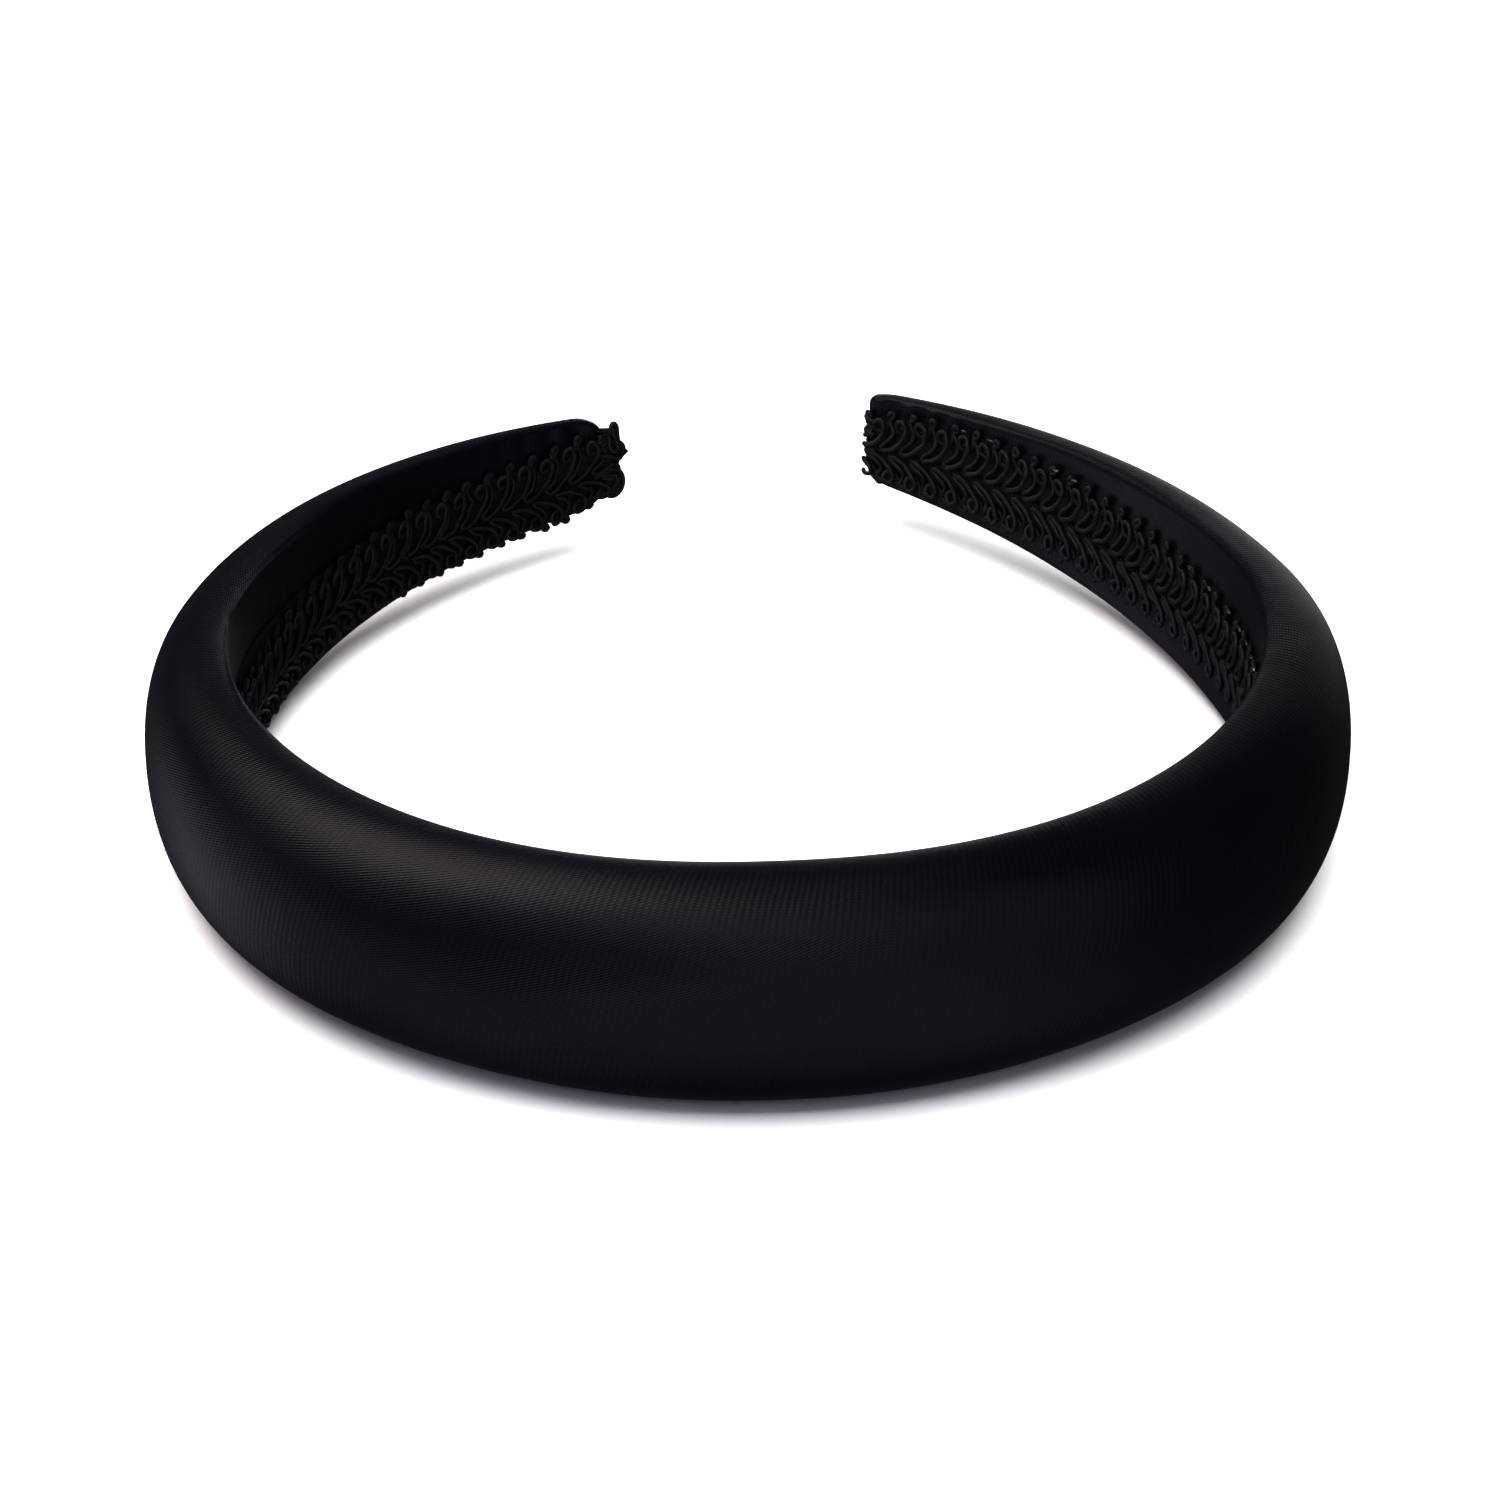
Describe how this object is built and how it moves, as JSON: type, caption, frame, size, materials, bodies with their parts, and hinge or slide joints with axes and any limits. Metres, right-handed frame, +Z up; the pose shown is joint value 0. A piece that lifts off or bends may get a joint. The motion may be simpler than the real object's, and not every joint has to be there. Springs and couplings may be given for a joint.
{
  "type": "headband",
  "caption": "Padded satin headband on a sprung plastic hoop, domed and thickest at the crown, narrowing to the tips, with a scrolled gimp braid lining inside.",
  "frame": {"origin": "bottom centre of the bounding box, with the band lying on its side", "axes": "+X across the hoop from the left tip's side to the right tip's side, +Y from the crown towards the tips, +Z up through the band's width"},
  "size_m": [0.1502, 0.1598, 0.029],
  "materials": {
    "satin": "black satin, soft sheen",
    "gimp": "matt black gimp cord",
    "gimp_thread": "matt black thread",
    "core_plastic": "moulded black plastic",
    "foam": "open-cell foam",
    "adhesive": "dried adhesive film",
    "glue": "clear hot-melt glue"
  },
  "bodies": {
    "crown": {"core_crown": "core_plastic", "adhesive_crown": "adhesive", "foam_crown": "foam", "satin_crown": "satin", "braid_glue_crown": "glue", "braid_upper_crown": "gimp", "braid_lower_crown": "gimp", "braid_chain_crown": "gimp_thread"},
    "left_arm": {"core_left": "core_plastic", "adhesive_left": "adhesive", "foam_left": "foam", "satin_left": "satin", "braid_glue_left": "glue", "braid_upper_left": "gimp", "braid_lower_left": "gimp", "braid_chain_left": "gimp_thread"},
    "right_arm": {"core_right": "core_plastic", "adhesive_right": "adhesive", "foam_right": "foam", "satin_right": "satin", "braid_glue_right": "glue", "braid_upper_right": "gimp", "braid_lower_right": "gimp", "braid_chain_right": "gimp_thread", "glue_beads": "glue"}
  },
  "joints": [
    {"name": "right_arm_flex", "type": "hinge", "parent": "crown", "child": "right_arm", "pos_m": [0.03597, -0.07124, 0.01452], "axis": [0, -0.014, -0.9999], "range_deg": [0, 20], "stiffness_Nm_per_rad": 0.35},
    {"name": "left_arm_flex", "type": "hinge", "parent": "crown", "child": "left_arm", "pos_m": [-0.03597, -0.07124, 0.01452], "axis": [0, 0.014, 0.9999], "range_deg": [0, 20], "stiffness_Nm_per_rad": 0.35}
  ]
}
